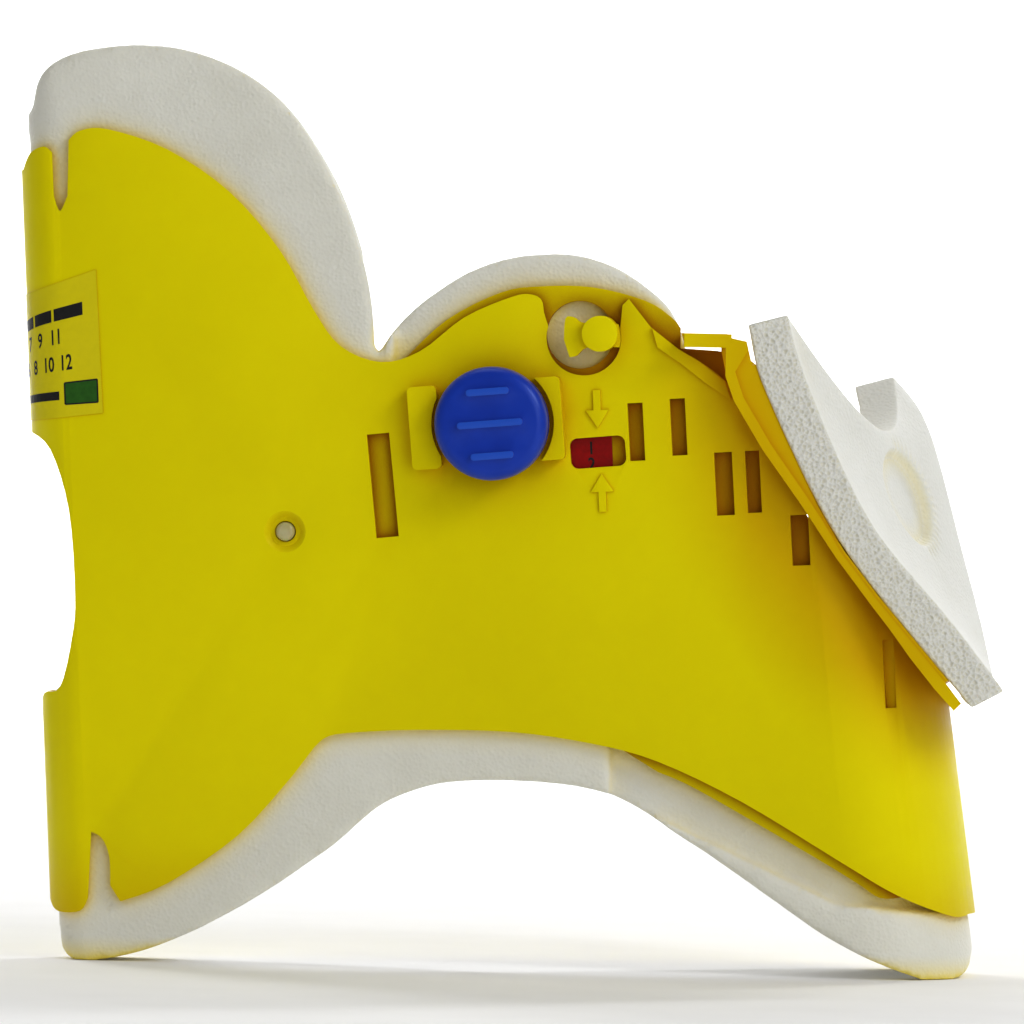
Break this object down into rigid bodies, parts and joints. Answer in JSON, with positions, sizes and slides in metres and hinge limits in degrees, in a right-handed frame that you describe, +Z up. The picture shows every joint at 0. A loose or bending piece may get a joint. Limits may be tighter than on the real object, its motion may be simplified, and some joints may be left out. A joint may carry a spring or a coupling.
{
  "type": "cervical collar",
  "caption": "Folding adjustable neck collar: plastic shell with foam lining, sliding chin carrier, flip-up chin rest and push-in locks.",
  "frame": {"origin": "middle of the folded collar's box, on the surface that its foam feet stand on", "axes": "+X from the back fold to the front, +Y across the folded collar away from the labelled side, +Z up"},
  "size_m": [0.1892, 0.0522, 0.175],
  "materials": {
    "shell_plastic": "satin moulded polyethylene",
    "inner_plastic": "satin moulded polyethylene",
    "foam": "soft closed-cell foam skin",
    "chin_foam": "soft foam with open cut edges",
    "button_plastic": "satin gloss",
    "clear_plastic": "translucent",
    "label": "printed film",
    "number_print": "printed",
    "strap_fabric": "woven hook tape",
    "loop_fabric": "napped loop tape"
  },
  "bodies": {
    "collar": {"collar_shell": "shell_plastic", "front_liner": "inner_plastic", "slot_liner": "inner_plastic", "collar_foam": "foam", "lock_bracket_near": "shell_plastic", "lock_bracket_far": "shell_plastic", "size_chart_label": "label", "foam_rivet_near": "clear_plastic", "cannula_hook_near": "shell_plastic", "cannula_hook_far": "shell_plastic", "loop_patch": "loop_fabric"},
    "far_back": {"far_back_shell": "shell_plastic", "far_back_foam": "foam", "foam_rivet_far": "clear_plastic", "closure_strap": "strap_fabric", "hook_patch": "strap_fabric", "strap_rivets": "clear_plastic"},
    "chin_carrier": {"chin_wing_near": "inner_plastic", "chin_wing_far": "inner_plastic", "number_label_near": "number_print", "number_label_far": "number_print"},
    "chin_rest": {"chin_plate": "shell_plastic", "chin_pad": "chin_foam"},
    "lock_near": {"lock_button_near": "button_plastic", "lock_pawl_near": "button_plastic"},
    "lock_far": {"lock_button_far": "button_plastic", "lock_pawl_far": "button_plastic"}
  },
  "joints": [
    {"name": "back_fold_hinge", "type": "hinge", "parent": "collar", "child": "far_back", "pos_m": [-0.086, 0, 0], "axis": [-0.0582, 0, 0.9983], "range_deg": [0, 150]},
    {"name": "chin_height_slide", "type": "slide", "parent": "collar", "child": "chin_carrier", "axis": [-0.0582, 0, 0.9983], "range_m": [0, 0.033]},
    {"name": "chin_rest_flip", "type": "hinge", "parent": "chin_carrier", "child": "chin_rest", "pos_m": [0.0321, 0, 0.121], "axis": [0, -1, 0], "range_deg": [0, 80]},
    {"name": "lock_near_push", "type": "slide", "parent": "collar", "child": "lock_near", "axis": [0.0958, 0.9954, 0.0056], "range_m": [0, 0.002]},
    {"name": "lock_far_push", "type": "slide", "parent": "collar", "child": "lock_far", "axis": [0.0958, -0.9954, 0.0056], "range_m": [0, 0.002]}
  ]
}
